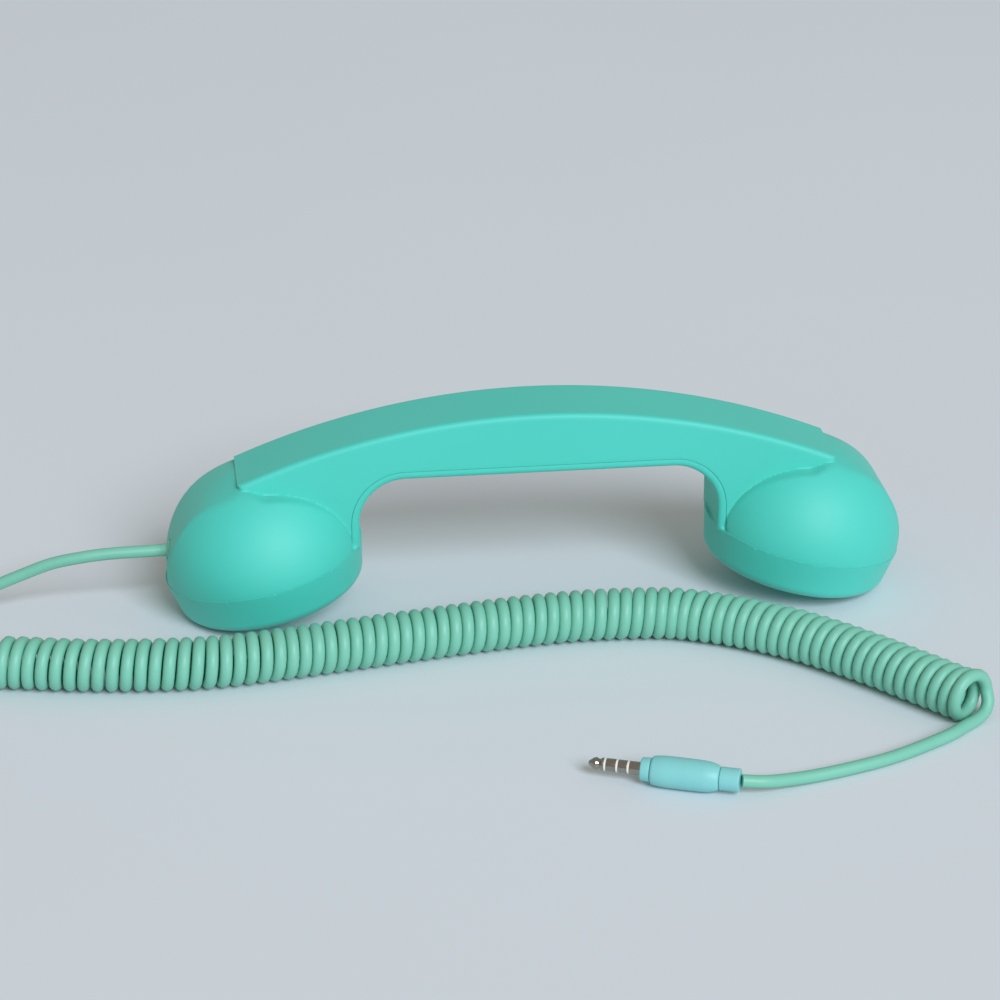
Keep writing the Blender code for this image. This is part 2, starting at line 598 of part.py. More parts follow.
def make_cord():
    """The grommet in the mouthpiece cup, the lead, the curly length as one fat tube, and the tail."""
    out = Matrix.Translation((-CUP_X, 0, CORD_EXIT_Z)) @ Matrix.Rotation(-pi / 2, 4, 'Y')
    grommet = [(0, 108.4), (1.9, 108.4), (2.7, 107.6), (2.7, 102.8), (3.8, 102.8), (3.8, 101.2), (0, 101.2)]
    turned("cord_grommet", [(r * MM, z * MM - CUP_X) for r, z in grommet], CORD, out, 16)
    lead = [(-108.7, 0, 19.3)] + LEAD_ROUTE
    coil = [(x, y, COIL_RADIUS / MM) for x, y in COIL_ROUTE]
    for name, route, radius, spacing, resolution in (
            ("cord_lead", lead, CORD_RADIUS, 9 * MM, 2), ("cord_coil", coil, COIL_RADIUS, 15 * MM, 4),
            ("cord_tail", TAIL_ROUTE, CORD_RADIUS, 8 * MM, 2)):
        tube(name, [tuple(v * MM for v in point) for point in route], radius, spacing, CORD, resolution)


def plug_place():
    tip = Matrix.Translation([v * MM for v in PLUG_TIP_AT])
    return tip @ Matrix.Rotation(PLUG_YAW, 4, 'Z') @ Matrix.Rotation(-pi / 2, 4, 'Y')


def make_plug():
    """Four contacts parted by three insulator rings, then the collar, the moulded grip and its boot."""
    place = plug_place()
    gap = 0.05 * MM
    tip = [
        (0, 0), (0.35, -0.05), (1.2, -1.0), (1.55, -1.5), (1.15, -2.3), (1.15, -2.6), (1.7, -3.2),
        (1.7, -4.0), (0, -4.0)]
    turned("plug_tip", [(r * MM, z * MM) for r, z in tip], NICKEL, place, 20)
    for name, start, end, mat in (
            ("plug_insulator_1", 4.0, 4.9, IVORY), ("plug_ring_1", 4.9, 7.2, NICKEL),
            ("plug_insulator_2", 7.2, 8.1, IVORY), ("plug_ring_2", 8.1, 10.3, NICKEL),
            ("plug_insulator_3", 10.3, 11.2, IVORY), ("plug_sleeve", 11.2, 14.0, NICKEL)):
        disc(name, PIN_RADIUS, -end * MM, -start * MM - gap, mat, place, 20)
    start = PIN_LENGTH + gap
    disc("plug_collar", COLLAR_SIZE, -start - COLLAR_LENGTH, -start, PLUG, place, 24)
    start += COLLAR_LENGTH + gap
    grip = [
        (0, 0), (3.7, 0), (4.2, -0.5), (4.2, -14.8), (3.9, -16.4), (3.1, -18.2), (0, -18.2),
    ]
    turned("plug_grip", [(r * MM, z * MM - start) for r, z in grip], PLUG, place, 24)
    start += GRIP_LENGTH + gap
    boot_end = -BOOT_LENGTH / MM
    boot = [(0, 0), (3.1, 0), (3.0, boot_end + 0.4), (2.6, boot_end), (0, boot_end)]
    turned("plug_boot", [(r * MM, z * MM - start) for r, z in boot], PLUG, place, 20)


make_outer_shell()
make_inner_shell()
make_button()
make_earpiece()
make_mouthpiece()
make_switchgear()
make_shell_screws()
make_inner_wires()
make_cord()
make_plug()
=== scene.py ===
"""Telephone handset with a curly cord and a jack plug, dressed round its CAD frame. Units are metres."""
from math import acos, atan2, cos, hypot, pi, radians, sin, sqrt

import bmesh
import bpy
import numpy as np
from mathutils import Matrix, Vector


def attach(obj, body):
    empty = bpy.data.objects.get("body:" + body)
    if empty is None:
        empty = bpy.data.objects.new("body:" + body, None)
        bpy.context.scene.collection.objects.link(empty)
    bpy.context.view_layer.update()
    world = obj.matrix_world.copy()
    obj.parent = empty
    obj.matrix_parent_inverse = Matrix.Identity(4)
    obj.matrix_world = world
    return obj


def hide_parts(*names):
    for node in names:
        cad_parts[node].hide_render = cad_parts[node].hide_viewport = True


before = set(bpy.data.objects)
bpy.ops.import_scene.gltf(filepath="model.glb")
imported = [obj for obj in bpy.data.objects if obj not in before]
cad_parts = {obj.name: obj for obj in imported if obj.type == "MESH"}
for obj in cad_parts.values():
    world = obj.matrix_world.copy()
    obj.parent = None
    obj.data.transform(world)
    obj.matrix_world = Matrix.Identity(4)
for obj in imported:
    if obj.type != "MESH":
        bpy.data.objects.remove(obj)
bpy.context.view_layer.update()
MM = 0.001

# ---- Table, light and camera ----
# A pale blue-grey table top, matt, lit by one broad window in front and to the right, with soft light
# from the rest of the room. The camera stands a little to the left and looks down on the handset.


def linear(code):
    """The linear colour that shaders take, from an sRGB hex code."""
    parts = [int(code[i:i + 2], 16) / 255 for i in (1, 3, 5)]
    return (*[c / 12.92 if c <= 0.04045 else ((c + 0.055) / 1.055) ** 2.4 for c in parts], 1.0)


def new_material(name):
    made = bpy.data.materials.new(name)
    made.use_nodes = True
    made.node_tree.nodes.clear()
    return made


def add_node(material, kind, inputs=None, **settings):
    """Adds a shader node: settings are its own, and inputs are values or the sockets to link."""
    made = material.node_tree.nodes.new("ShaderNode" + kind)
    for name, value in settings.items():
        setattr(made, name, value)
    for name, value in (inputs or {}).items():
        if isinstance(value, bpy.types.NodeSocket):
            material.node_tree.links.new(value, made.inputs[name])
        else:
            made.inputs[name].default_value = value
    return made


def surface(material, inputs):
    """Ends a material in a Principled shader with these inputs."""
    shader = add_node(material, "BsdfPrincipled", inputs)
    add_node(material, "OutputMaterial", {"Surface": shader.outputs["BSDF"]})
    return material


def speckled(name, light, dark, patch, grain, depth, roughness, spread=0.06, **more):
    """A moulded finish: colour that drifts a little over patches, and a fine bump of that grain."""
    made = new_material(name)
    place = add_node(made, "TexCoord").outputs["Object"]
    cloud = add_node(made, "TexNoise", {"Vector": place, "Scale": 1 / patch, "Detail": 3.0})
    tint = add_node(made, "Mix", {
        0: cloud.outputs["Fac"], 6: linear(dark), 7: linear(light)}, data_type="RGBA")
    fine = add_node(made, "TexNoise", {"Vector": place, "Scale": 1 / grain, "Detail": 2.0})
    relief = add_node(made, "Bump", {"Height": fine.outputs["Fac"], "Strength": 1.0, "Distance": depth})
    gloss = add_node(made, "MapRange", {
        "Value": fine.outputs["Fac"], "To Min": roughness - spread, "To Max": roughness + spread})
    return surface(made, {
        "Base Color": tint.outputs[2], "Roughness": gloss.outputs["Result"],
        "Normal": relief.outputs["Normal"], **more})


# Matt laminate: it gives a soft, even ground with a barely visible paper grain.
table_laminate = speckled("table_laminate", "#DDE6EC", "#D7E0E7", 400 * MM, 0.7 * MM, 0.01 * MM, 0.75)
table_mesh = bpy.data.meshes.new("table_top")
table_mesh.from_pydata([(-4, -3, 0), (4, -3, 0), (4, 6, 0), (-4, 6, 0)], [], [(0, 1, 2, 3)])
table_mesh.materials.append(table_laminate)
table = bpy.data.objects.new("table_top", table_mesh)
bpy.context.scene.collection.objects.link(table)
table.location.z = -0.05 * MM

world = bpy.data.worlds.new("room")
world.use_nodes = True
room = world.node_tree.nodes["Background"]
room.inputs["Color"].default_value = linear("#FFF6EC")
room.inputs["Strength"].default_value = 0.38
bpy.context.scene.world = world
bpy.context.scene.view_settings.view_transform = 'Standard'


def window(name, turn, height, distance, size, power, tint):
    """A broad soft light, turned from the front towards the right and raised by these degrees."""
    light = bpy.data.lights.new(name, 'AREA')
    light.shape, light.size, light.energy, light.color = 'SQUARE', size, power, linear(tint)[:3]
    ob = bpy.data.objects.new(name, light)
    away = Vector((sin(radians(turn)) * cos(radians(height)), -cos(radians(turn)) * cos(radians(height)),
                   sin(radians(height))))
    ob.location = Vector((0, 0, 0.03)) + away * distance
    ob.rotation_euler = away.to_track_quat('Z', 'Y').to_euler()
    bpy.context.scene.collection.objects.link(ob)


window("window", 19, 35, 12.0, 5.5, 1290.0, "#F0F6FF")

eye = bpy.data.cameras.new("camera")
eye.lens, eye.sensor_width = 115.0, 36.0
camera = bpy.data.objects.new("camera", eye)
camera.location = (-0.114934, -0.839195, 0.404524)
camera.rotation_euler = Vector((0.113246, 0.907171, -0.405235)).to_track_quat('-Z', 'Y').to_euler()
bpy.context.scene.collection.objects.link(camera)
bpy.context.scene.camera = camera

# ---- Curly cord ----
# One round four-core cord in a soft PVC jacket, 3.5 mm thick. It leaves the mouthpiece cup as a short lead,
# was wound hot on a rod into touching turns that keep their curl, and ends in a plain tail to the plug.
CORD_DIAMETER = 3.5 * MM
COIL_RADIUS = 5.65 * MM      # of the cord's centre line round the coil's axis
COIL_AXIS_Z = 7.4 * MM
TURN_POINTS = 18
LEAD_PIECES, TAIL_PIECES = 5, 6
CLOSEST = 0.3 * MM           # between two points of the cord's line
LEAD_ROUTE = [
    (-104, 0, 19.3), (-108.7, 0, 19.3), (-112, 0, 19.2), (-123, 0, 19), (-131.5, 0, 18.2), (-140, 0.5, 16.5),
    (-148.7, 1, 13.2), (-156, 1.5, 10.2), (-165, 2.2, 6.8), (-175, 2.6, 3.8), (-186, 1.5, 2.1),
    (-196, -3.5, 1.85), (-203, -12.5, 1.85), (-204, -24, 1.85), (-197, -34.5, 1.85), (-186, -40, 1.85),
]
COIL_ROUTE = [
    (-176.5, -40.8), (-154.2, -42.6), (-134.2, -46.6), (-117.3, -48.9), (-100.4, -49.8), (-86.6, -48.6),
    (-68, -45.4), (-48.7, -41.8), (-27.2, -37.9), (-8, -34.9), (11.4, -33.3), (32.7, -34.6),
    (45.5, -39.2), (57, -45.6), (70, -55.6), (83.4, -69.2), (95, -83), (106.1, -96.4),
]
TAIL_ROUTE = [
    (111, -94, 4.75), (109.6, -96, 2.6), (106.9, -98.4, 1.85), (102.6, -102, 1.85), (97.9, -105.9, 1.85),
    (90.1, -110.7, 1.85), (82.3, -115, 1.85), (75.1, -118.2, 1.85), (65, -121.6, 1.85), (55.7, -124.2, 1.95),
    (48, -126.6, 2.7), (42.6, -128.3, 3.6), (36.8, -128.3, 4.25),
]


def flowing(points, pieces):
    """A smooth line through the points, with that many pieces between each two (Catmull-Rom)."""
    points = np.array(points, float)
    ends = np.vstack([2 * points[0] - points[1], points, 2 * points[-1] - points[-2]])
    line = []
    for a, b, c, d in zip(ends, ends[1:], ends[2:], ends[3:]):
        for t in np.arange(pieces) / pieces:
            line.append(0.5 * (2 * b + (c - a) * t + (2 * a - 5 * b + 4 * c - d) * t ** 2
                               + (3 * b - a - 3 * c + d) * t ** 3))
    return np.array(line + [points[-1]])


def resampled(line, at):
    """Points on a line at these lengths along it."""
    along = np.concatenate([[0], np.cumsum(np.linalg.norm(np.diff(line, axis=0), axis=1))])
    return np.stack([np.interp(at, along, line[:, k]) for k in range(line.shape[1])], axis=1), along[-1]


def wound(axis_route):
    """The centre line of the curly length, wound left-handed, from low on the axis to its far side."""
    axis = flowing(axis_route, 24)
    length = resampled(axis, [0])[1]
    s = np.linspace(0, length, 4000)
    pitch = np.interp(s / length, [0, 0.045, 0.075, 0.2, 0.36, 0.6, 0.9, 1],
                      [17, 13, 3.85, 3.74, 3.58, 3.56, 3.58, 3.62])
    turns = np.concatenate([[0], np.cumsum(np.diff(s) / (pitch[1:] * MM))])
    whole = round(turns[-1] - 0.75) + 0.75
    turns *= whole / turns[-1]
    turn = np.linspace(0, whole, int(whole * TURN_POINTS) + 1)
    at = np.interp(turn, turns, s)
    centre = resampled(axis, at)[0]
    ahead = (resampled(axis, np.minimum(at + 2 * MM, length))[0]
             - resampled(axis, np.maximum(at - 2 * MM, 0))[0])
    ahead /= np.linalg.norm(ahead, axis=1)[:, None]
    angle = radians(270) - 2 * pi * turn
    # No two turns lean alike. The first ones open out to the lead, and the last one widens to the tail.
    lean = 0.06 * np.sin(turn * 0.9) + 0.05 * np.sin(turn * 2.3 + 1.0)
    opened, loosened = np.clip(turn / 1.9, 0, 1), np.clip(turn - whole + 1.3, 0, 1)
    radius = COIL_RADIUS * (opened ** 2 * (3 - 2 * opened) + 0.06 * loosened ** 2 * (3 - 2 * loosened))
    side = np.stack([-ahead[:, 1], ahead[:, 0]], axis=1)
    flat = centre + side * (radius * np.cos(angle))[:, None] + ahead * (lean * MM * np.sin(angle))[:, None]
    height = COIL_AXIS_Z - (COIL_RADIUS - radius) + radius * np.sin(angle)
    return np.column_stack([flat, height])


# The lead and the tail are drawn on past the curly length's ends, which they meet in line.
helix = wound([(x * MM, y * MM) for x, y in COIL_ROUTE])
lead = flowing(np.vstack([np.array(LEAD_ROUTE) * MM, helix[:2]]), LEAD_PIECES)[:-2 * LEAD_PIECES]
tail = flowing(np.vstack([helix[-3:], np.array(TAIL_ROUTE) * MM]), TAIL_PIECES)[2 * TAIL_PIECES + 1:]
cord_line = np.vstack([lead, helix, tail])
apart = np.linalg.norm(np.diff(cord_line, axis=0), axis=1) > CLOSEST
cord_line = cord_line[np.concatenate([[True], apart])]

# Flexible PVC jacket: even colour with a soft gloss, faintly cloudy, with fine drawing marks along it.
pvc_jacket = speckled("pvc_cord_jacket", "#7CC6AF", "#74BEA7", 8 * MM, 0.5 * MM, 0.01 * MM, 0.46)

cord_curve = bpy.data.curves.new("curly_cord", 'CURVE')
cord_curve.dimensions = '3D'
cord_curve.bevel_depth = CORD_DIAMETER / 2
cord_curve.bevel_resolution = 4
cord_curve.use_fill_caps = True
cord_spline = cord_curve.splines.new('POLY')
cord_spline.points.add(len(cord_line) - 1)
cord_spline.points.foreach_set("co", np.column_stack([cord_line, np.ones(len(cord_line))]).ravel())
cord_spline.use_smooth = True
cord_curve.materials.append(pvc_jacket)
curly_cord = bpy.data.objects.new("curly_cord", cord_curve)
bpy.context.scene.collection.objects.link(curly_cord)
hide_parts("cord_lead", "cord_coil", "cord_tail")
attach(curly_cord, "handset")

# ---- Jack plug ----
# A standard four-pole plug, 3.5 mm thick. Nickel-plated brass contacts, turned, with white insulating rings
# pressed between them. A soft grip with a collar in front and a boot behind is moulded round the cord's end.
PLUG_TIP_AT = (-1.1 * MM, -113.6 * MM, 4.25 * MM)
PLUG_YAW = radians(-21.2)
CONTACT_RADIUS, INSULATOR_RADIUS = 1.75, 1.7
plug_place = (Matrix.Translation(PLUG_TIP_AT) @ Matrix.Rotation(PLUG_YAW, 4, 'Z')
              @ Matrix.Rotation(-pi / 2, 4, 'Y'))


def finished(name, body, material, place=Matrix(), sharp=35):
    """Turns a bmesh, drawn in mm, into a smooth piece that keeps its edges above that angle."""
    mesh = bpy.data.meshes.new(name)
    bmesh.ops.recalc_face_normals(body, faces=body.faces)
    body.transform(place @ Matrix.Scale(MM, 4))
    body.to_mesh(mesh)
    body.free()
    mesh.shade_smooth()
    mesh.set_sharp_from_angle(angle=radians(sharp))
    mesh.materials.append(material)
    ob = bpy.data.objects.new(name, mesh)
    bpy.context.scene.collection.objects.link(ob)
    return ob


def softened(profile, round_by):
    """A profile with each inner corner cut back to a short arc."""
    out = [profile[0]]
    for before, corner, after in zip(profile, profile[1:], profile[2:]):
        corner, one, two = Vector(corner), Vector(before) - Vector(corner), Vector(after) - Vector(corner)
        back = min(round_by, one.length * 0.45, two.length * 0.45)
        start, stop = corner + one.normalized() * back, corner + two.normalized() * back
        out += [tuple(start.lerp(corner, t).lerp(corner.lerp(stop, t), t)) for t in (0, 0.25, 0.5, 0.75, 1)]
    return out + [profile[-1]]


def lathed(name, profile, material, place, round_by=0.0, steps=48):
    """A turned piece: profile points are (radius, height) in mm, from the axis back to the axis."""
    profile = softened(profile, round_by) if round_by else profile
    body = bmesh.new()
    rings = []
    for radius, height in profile:
        if radius < 1e-6:
            rings.append([body.verts.new((0, 0, height))])
        else:
            turns = [2 * pi * k / steps for k in range(steps)]
            rings.append([body.verts.new((radius * cos(turn), radius * sin(turn), height)) for turn in turns])
    for low, high in zip(rings, rings[1:]):
        for k in range(steps):
            loop = list(dict.fromkeys([low[k % len(low)], low[(k + 1) % len(low)],
                                       high[(k + 1) % len(high)], high[k % len(high)]]))
            if len(loop) > 2:
                body.faces.new(loop)
    return finished(name, body, material, place)


# Nickel-plated brass: bright and a little warm, with fine turning rings round it.
nickel_plate = new_material("nickel_plated_brass")
nickel_place = add_node(nickel_plate, "TexCoord").outputs["Object"]
turning = add_node(nickel_plate, "TexNoise", {"Vector": nickel_place, "Scale": 1 / (0.5 * MM), "Detail": 3.0})
nickel_tint = add_node(nickel_plate, "Mix", {
    0: turning.outputs["Fac"], 6: linear("#8E8980"), 7: linear("#B4B0A8")}, data_type="RGBA")
nickel_wear = add_node(nickel_plate, "MapRange", {
    "Value": turning.outputs["Fac"], "To Min": 0.12, "To Max": 0.26})
nickel_relief = add_node(nickel_plate, "Bump", {
    "Height": turning.outputs["Fac"], "Strength": 0.3, "Distance": 0.01 * MM})
surface(nickel_plate, {
    "Base Color": nickel_tint.outputs[2], "Metallic": 1.0, "Roughness": nickel_wear.outputs["Result"],
    "Normal": nickel_relief.outputs["Normal"]})

# White polyester insulator: smooth and slightly creamy. Moulded grip: satin, bluer and paler than the cord.
white_insulator = speckled("white_insulator", "#F0EFEA", "#E2E0D8", 2 * MM, 0.2 * MM, 0.004 * MM, 0.4)
plug_moulding = speckled("plug_overmould", "#86D1D1", "#7ECACA", 6 * MM, 0.45 * MM, 0.012 * MM, 0.46)

PLUG_PIECES = [
    ("plug_tip", nickel_plate, 0.1, [
        (0, 0), (0.5, -0.1), (1.5, -1.4), (1.7, -2.1), (1.35, -2.9), (1.35, -3.2), (1.72, -3.6), (1.72, -4.2),
        (0, -4.2)]),
    ("plug_collar", plug_moulding, 0.45, [(0, -14.05), (3.05, -14.05), (3.2, -16.65), (0, -16.65)]),
    ("plug_grip", plug_moulding, 0.9, [
        (0, -16.7), (3.75, -16.7), (4.15, -20.0), (4.2, -27.0), (4.1, -31.4), (3.7, -33.4), (3.15, -34.9),
        (0, -34.9)]),
    ("plug_boot", plug_moulding, 0.35, [
        (0, -34.9), (3.1, -34.95), (3.05, -37.5), (3.1, -40.15), (0, -40.15)]),
]
for name, start, stop, material in (
        ("plug_insulator_1", 4.2, 4.8, white_insulator), ("plug_ring_1", 4.8, 7.4, nickel_plate),
        ("plug_insulator_2", 7.4, 8.0, white_insulator), ("plug_ring_2", 8.0, 10.4, nickel_plate),
        ("plug_insulator_3", 10.4, 11.0, white_insulator), ("plug_sleeve", 11.0, 14.0, nickel_plate)):
    wide = CONTACT_RADIUS if material is nickel_plate else INSULATOR_RADIUS
    PLUG_PIECES.append((name, material, 0.06, [
        (0, -start - 0.05), (wide, -start - 0.05), (wide, -stop), (0, -stop)]))
for name, material, round_by, profile in PLUG_PIECES:
    piece = lathed("jack_" + name, profile, material, plug_place, round_by)
    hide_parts(name)
    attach(piece, "handset")

# ---- Shells ----
# Two shells of ABS, 2 mm thick, injection moulded and sprayed with a soft-touch lacquer. The outer one is the
# roofed bar and both domes. The inner one is the underside of the grip with the skirts that hold the caps.
# Each is drawn as the surface where a field of distances in mm is zero.
ROOF_HEIGHT, ROOF_RADIUS = 60.5, 219.4
BAR_HALF_WIDTH, BAR_END_X, RIDGE_ROUND = 11.8, 86.2, 1.4
STEP = 0.4                   # how far the domes' top lies below the bar's roof
END_RADIUS = 31.0            # of the top, where it turns down past the bar's end
CROWN_RADIUS, SHOULDER_ROUND = 70.0, 0.3
WALL, GAP, SEAM = 2.0, 0.01, 0.06
LAP = 0.3                    # how far the domes reach down into the skirts' lips
GRIP_Z, NECK_X, NECK_RADIUS = 42.5, 51.8, 13.2
PARTING_RISE = 2.4
CUP_X, CUP_TILT = 79.0, radians(12)
DOME_RADIUS, DOME_HEIGHT, BOWL_HEIGHT = 28.9, 25.2, 28.4
RIM_RADIUS, EDGE_RADIUS, EDGE_ROUND, EDGE_DEPTH = 29.05, 24.4, 3.0, 8.9
RIM_Z = EDGE_DEPTH * cos(CUP_TILT) + EDGE_RADIUS * sin(CUP_TILT) + EDGE_ROUND
FACE_DEPTH = EDGE_DEPTH + EDGE_ROUND
SKIRT_TAPER = 0.2048
POST_AT, POST_RADIUS, POST_BORE, POST_LOW, POST_BORE_TOP = 17.6, 2.4, 1.3, -5.2, 4.5
BOSS_AT, BOSS_RADIUS, BOSS_BORE, BOSS_LOW, BOSS_BORE_TOP = 22, 3, 1.4, 56.7, 58.6
STAND_AT, STAND_RADIUS, STAND_BORE, STAND_LOW, STAND_BORE_LOW, STAND_TOP = 16, 2.2, 1.1, 43.5, 46, 50
CORD_HOLE_Z, CORD_HOLE_RADIUS, CORD_HOLE_X = 19.3, 3.0, -95
WEB_TOP, WEB_LOW, BOWL_INSIDE, BOWL_FLARE = -5.5, -8, 24.6, 0.505
EAR_OPENING, MOUTH_OPENING = 12.0, 6.5
LEDGE_RADIUS, LEDGE_LEVEL, SEAT_RADIUS, SEAT_LEVEL = 20.3, -7.3, 21.8, -9.3
SLOT_HALF, SLOT_RADIUS, SLOT_TOP = 3.5, 3.8, 48
GRID, EDGE_SOFT = 0.5, 0.02
CAPTURE = 0.7 * GRID         # how near to a sharp edge a point has to lie to be moved on to it

roof_low = ROOF_HEIGHT - ROOF_RADIUS
rim_far = (CUP_X + DOME_RADIUS * cos(CUP_TILT), RIM_Z - DOME_RADIUS * sin(CUP_TILT) - roof_low)
reach, away = ROOF_RADIUS - END_RADIUS, hypot(*rim_far)
end_turn = atan2(*rim_far) - acos((reach ** 2 + away ** 2 - END_RADIUS ** 2) / (2 * reach * away))
end_centre = (reach * sin(end_turn), roof_low + reach * cos(end_turn))
bar_turn = atan2(BAR_END_X, sqrt(ROOF_RADIUS ** 2 - BAR_END_X ** 2))


def both(a, b, soft=0.0):
    """Where two solids overlap, their shared edge rounded by that radius. Inside is negative."""
    if np.ndim(soft) == 0 and soft == 0:
        return np.maximum(a, b)
    return np.minimum(np.maximum(a, b), -soft) + np.hypot(np.maximum(a + soft, 0), np.maximum(b + soft, 0))


def either(a, b, soft=0.0):
    """Two solids joined, with a fillet of that radius between them."""
    if np.ndim(soft) == 0 and soft == 0:
        return np.minimum(a, b)
    return np.maximum(np.minimum(a, b), soft) - np.hypot(np.maximum(soft - a, 0), np.maximum(soft - b, 0))


def eased(value, low, high):
    t = np.clip((value - low) / (high - low), 0, 1)
    return t * t * (3 - 2 * t)


def ellipsoid(r, t, height):
    k0 = np.maximum(np.hypot(r / DOME_RADIUS, t / height), 1e-3)
    return k0 * (k0 - 1) / np.maximum(np.hypot(r / DOME_RADIUS ** 2, t / height ** 2), 1e-5)


def handset_form(x, y, z):
    """The outer form above the rims, the bar, the parting line, the place in the cup, and the sharp edges."""
    x, y = np.abs(x), np.abs(y)
    u = (x - CUP_X) * cos(CUP_TILT) - (z - RIM_Z) * sin(CUP_TILT)
    t = (x - CUP_X) * sin(CUP_TILT) + (z - RIM_Z) * cos(CUP_TILT)
    r, up = np.hypot(u, y), np.maximum(t, 0)
    bowl = ellipsoid(r, up, BOWL_HEIGHT)
    roof = np.hypot(x, z - roof_low) - ROOF_RADIUS
    past = (x - end_centre[0]) * cos(end_turn) - (z - end_centre[1]) * sin(end_turn) > 0
    arc = np.where(past, np.hypot(x - end_centre[0], z - end_centre[1]) - END_RADIUS, roof)
    end = ((x - BAR_END_X) * cos(bar_turn)
           - (z - roof_low - sqrt(ROOF_RADIUS ** 2 - BAR_END_X ** 2)) * sin(bar_turn))
    crown = STEP + y ** 2 / (2 * CROWN_RADIUS) * (1 - eased(x, 88, 102))
    blend = eased(x, 78, 87)
    top = (1 - blend) * ellipsoid(np.hypot(u, BAR_HALF_WIDTH), up, DOME_HEIGHT) + blend * (arc + crown)
    cup = both(bowl, top, 0.15 + SHOULDER_ROUND * (1 - eased(x, 92, 102)))
    qx, qz = x - NECK_X + NECK_RADIUS, z - GRIP_Z + NECK_RADIUS
    grip_gap = (np.hypot(np.maximum(qx, 0), np.maximum(qz, 0)) + np.minimum(np.maximum(qx, qz), 0)
                - NECK_RADIUS)
    outline = both(both(both(roof, end, 0.15), -grip_gap), -t - 1.0)
    bar = both(outline, y - BAR_HALF_WIDTH, RIDGE_ROUND)
    return np.minimum(bar, cup), bar, grip_gap - PARTING_RISE, u, t, r, ((bar + 0.12, cup + 0.6), (roof, end))


def outer_shell_field(x, y, z):
    form, _, line, u, t, _, edges = handset_form(x, y, z)
    form = form + 0.1 * (1 - eased(t, -LAP, 0))
    parting, seam = np.minimum(line, t + LAP), np.where(line < t + LAP, SEAM, 0)
    wall = both(form, -form - WALL)
    post = np.hypot(u, np.abs(y) - POST_AT)
    boss = np.hypot(np.abs(x) - BOSS_AT, y)
    solid = either(wall, both(both(post - POST_RADIUS, POST_LOW - t), form + 1), 0.5)
    solid = both(solid, GAP / 2 - parting, EDGE_SOFT)
    solid = either(solid, both(both(post - POST_RADIUS, POST_LOW - t), form + 1))
    solid = both(solid, -both(post - POST_BORE, t - POST_BORE_TOP))
    solid = either(solid, both(both(boss - BOSS_RADIUS, BOSS_LOW - z), form + 1))
    solid = both(solid, -both(boss - BOSS_BORE, z - BOSS_BORE_TOP))
    solid = both(solid, -both(np.hypot(y, z - CORD_HOLE_Z) - CORD_HOLE_RADIUS, x - CORD_HOLE_X), 0.3)
    return solid, (*edges, (form + seam, GAP / 2 - parting + seam))


def inner_shell_field(x, y, z):
    _, bar, line, u, t, r, _ = handset_form(x, y, z)
    parting, seam = np.minimum(line, t), np.where(line < t, SEAM, 0)
    side = ((r - RIM_RADIUS) - t * SKIRT_TAPER) / sqrt(1 + SKIRT_TAPER ** 2)
    skirt = both(both(side, -t - FACE_DEPTH, EDGE_ROUND), t + GAP / 2, EDGE_SOFT)
    strip = both(bar, parting + GAP / 2, EDGE_SOFT)
    solid = either(skirt, strip, 0.8)
    for hollow in (
            bar + WALL,
            both(both(r - BOWL_INSIDE - BOWL_FLARE * (t - WEB_TOP), WEB_TOP - t), t + GAP / 2),
            both(r - LEDGE_RADIUS, t - LEDGE_LEVEL), both(r - SEAT_RADIUS, t - SEAT_LEVEL),
            both(both(r - np.where(x > 0, EAR_OPENING, MOUTH_OPENING), t + 5.3), WEB_LOW - t),
            both(both(np.hypot(u, np.abs(y) - POST_AT) - POST_BORE, t + 5), WEB_LOW - t),
            both(np.hypot(np.maximum(np.abs(x) - SLOT_HALF, 0), y) - SLOT_RADIUS, z - SLOT_TOP)):
        solid = both(solid, -hollow)
    stand = np.hypot(np.abs(x) - STAND_AT, y)
    solid = either(solid, both(both(stand - STAND_RADIUS, STAND_LOW - z), z - STAND_TOP))
    solid = both(solid, -both(stand - STAND_BORE, STAND_BORE_LOW - z))
    outside = np.where(t < 0.5, np.minimum(side, bar), bar)
    return solid, ((outside + seam, parting + GAP / 2 + seam),)


def sloped(field, points, step=0.02):
    """A field and its gradient at these points."""
    slope = [(field(*(points + way).T) - field(*(points - way).T)) / (2 * step) for way in step * np.eye(3)]
    return field(*points.T), np.stack(slope, axis=1)


